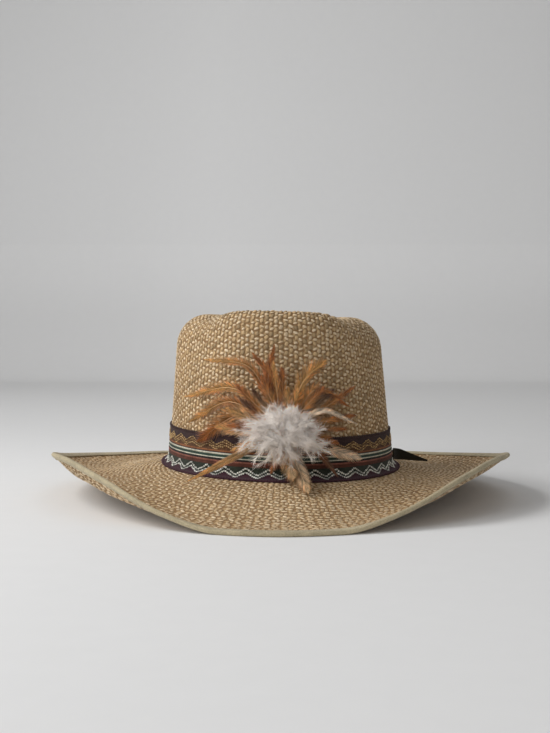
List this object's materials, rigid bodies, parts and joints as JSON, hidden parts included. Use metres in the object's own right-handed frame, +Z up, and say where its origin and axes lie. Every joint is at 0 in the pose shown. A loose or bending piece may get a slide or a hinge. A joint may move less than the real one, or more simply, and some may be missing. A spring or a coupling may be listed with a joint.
{
  "type": "straw cowboy hat",
  "caption": "Woven straw hat with a pinched crown, a brim rolled up at the sides, a bound edge, a patterned band and a feather cockade.",
  "frame": {"origin": "on the surface that the brim rests on, under the middle of the brim", "axes": "+Z up, the front of the hat towards -Y, the wearer's left towards +X"},
  "size_m": [0.3491, 0.3762, 0.1388],
  "materials": {
    "straw": "plain weave of light straw over darker brown straw, matt",
    "binding": "khaki ribbed ribbon, stitched",
    "band": "patterned woven braid with zigzags, matt",
    "tail": "dark ribbon",
    "feather": "brown hackle feathers, soft sheen",
    "down": "pale down, matt"
  },
  "bodies": {
    "root": {"crown": "straw", "brim": "straw", "brim_binding": "binding", "hat_band": "band", "band_tail": "tail", "feather_spray": "feather", "down_puff": "down"}
  },
  "joints": []
}
